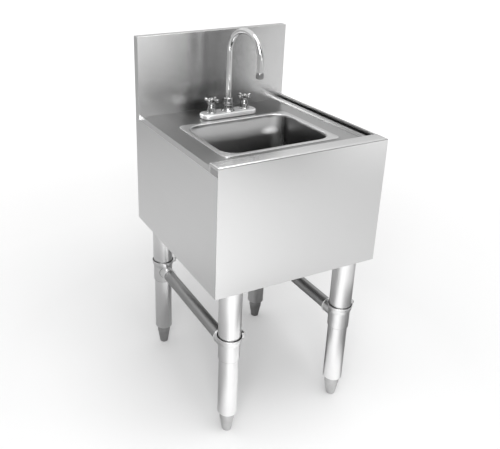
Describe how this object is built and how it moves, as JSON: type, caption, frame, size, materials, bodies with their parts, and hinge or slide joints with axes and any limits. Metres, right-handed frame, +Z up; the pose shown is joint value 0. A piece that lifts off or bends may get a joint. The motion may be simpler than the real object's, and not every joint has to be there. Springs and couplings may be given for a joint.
{
  "type": "underbar hand sink",
  "caption": "Freestanding underbar hand sink with a boxed steel body, a bowl, a backsplash, tubular legs with screw feet and a deck faucet with a swivelling gooseneck.",
  "frame": {"origin": "middle of the bounding box's underside, on the floor", "axes": "+X to the sink's right seen from the front, +Y to its back, +Z up"},
  "size_m": [0.457, 0.482, 0.9914],
  "materials": {
    "stainless_sheet": "satin, brushed along each panel",
    "stainless_tube": "satin, polished along the tube",
    "stainless_collar": "satin",
    "cast_foot": "cast, lightly polished",
    "zinc_steel": "zinc plated",
    "drain_steel": "polished",
    "drain_chrome": "polished",
    "faucet_chrome": "polished",
    "button_metal": "polished, bare of any letter",
    "brass": "machined",
    "rubber": "matte"
  },
  "bodies": {
    "cabinet": {"front_apron": "stainless_sheet", "left_side_panel": "stainless_sheet", "right_side_panel": "stainless_sheet", "rear_panel": "stainless_sheet", "deck_top": "stainless_sheet", "right_edge_channel": "stainless_sheet", "backsplash": "stainless_sheet", "basin_bowl": "stainless_sheet", "bowl_flange": "stainless_sheet", "left_leg_channel": "stainless_sheet", "right_leg_channel": "stainless_sheet", "front_left_upper_leg": "stainless_tube", "front_right_upper_leg": "stainless_tube", "rear_left_upper_leg": "stainless_tube", "rear_right_upper_leg": "stainless_tube", "front_left_collar": "stainless_collar", "front_right_collar": "stainless_collar", "rear_left_collar": "stainless_collar", "rear_right_collar": "stainless_collar", "collar_screws": "zinc_steel", "left_side_rail": "stainless_tube", "right_side_rail": "stainless_tube", "front_left_lower_leg": "stainless_tube", "front_right_lower_leg": "stainless_tube", "rear_left_lower_leg": "stainless_tube", "rear_right_lower_leg": "stainless_tube", "foot_plugs": "zinc_steel", "drain_body": "drain_steel", "drain_gasket": "rubber", "drain_lock_nut": "drain_chrome", "drain_tailpiece": "drain_chrome", "drain_slip_nut": "drain_chrome", "faucet_base": "faucet_chrome", "spout_post": "faucet_chrome", "faucet_gasket": "rubber", "faucet_shanks": "brass", "shank_lock_nuts": "brass", "spout_collar": "faucet_chrome", "left_bonnet": "faucet_chrome", "right_bonnet": "faucet_chrome"},
    "spout": {"gooseneck_spout": "faucet_chrome", "spout_aerator": "faucet_chrome"},
    "hot_handle": {"left_handle": "faucet_chrome", "left_handle_button": "button_metal", "left_valve_stem": "brass"},
    "cold_handle": {"right_handle": "faucet_chrome", "right_handle_button": "button_metal", "right_valve_stem": "brass"},
    "strainer": {"drain_strainer": "drain_steel"},
    "front_left_foot": {"front_left_foot": "cast_foot"},
    "front_right_foot": {"front_right_foot": "cast_foot"},
    "rear_left_foot": {"rear_left_foot": "cast_foot"},
    "rear_right_foot": {"rear_right_foot": "cast_foot"}
  },
  "joints": [
    {"name": "spout_swivel", "type": "hinge", "parent": "cabinet", "child": "spout", "pos_m": [0, 0.132, 0.79], "axis": [0, 0, 1], "range_deg": [-98, 82]},
    {"name": "hot_handle_turn", "type": "hinge", "parent": "cabinet", "child": "hot_handle", "pos_m": [-0.0508, 0.132, 0.79], "axis": [0, 0, 1], "range_deg": [0, 90]},
    {"name": "cold_handle_turn", "type": "hinge", "parent": "cabinet", "child": "cold_handle", "pos_m": [0.0508, 0.132, 0.79], "axis": [0, 0, 1], "range_deg": [-90, 0]},
    {"name": "strainer_lift", "type": "slide", "parent": "cabinet", "child": "strainer", "axis": [0, 0, 1], "range_m": [0, 0.12]},
    {"name": "front_left_foot_screw", "type": "slide", "parent": "cabinet", "child": "front_left_foot", "axis": [0, 0, -1], "range_m": [0, 0.025]},
    {"name": "front_right_foot_screw", "type": "slide", "parent": "cabinet", "child": "front_right_foot", "axis": [0, 0, -1], "range_m": [0, 0.025]},
    {"name": "rear_left_foot_screw", "type": "slide", "parent": "cabinet", "child": "rear_left_foot", "axis": [0, 0, -1], "range_m": [0, 0.025]},
    {"name": "rear_right_foot_screw", "type": "slide", "parent": "cabinet", "child": "rear_right_foot", "axis": [0, 0, -1], "range_m": [0, 0.025]}
  ]
}
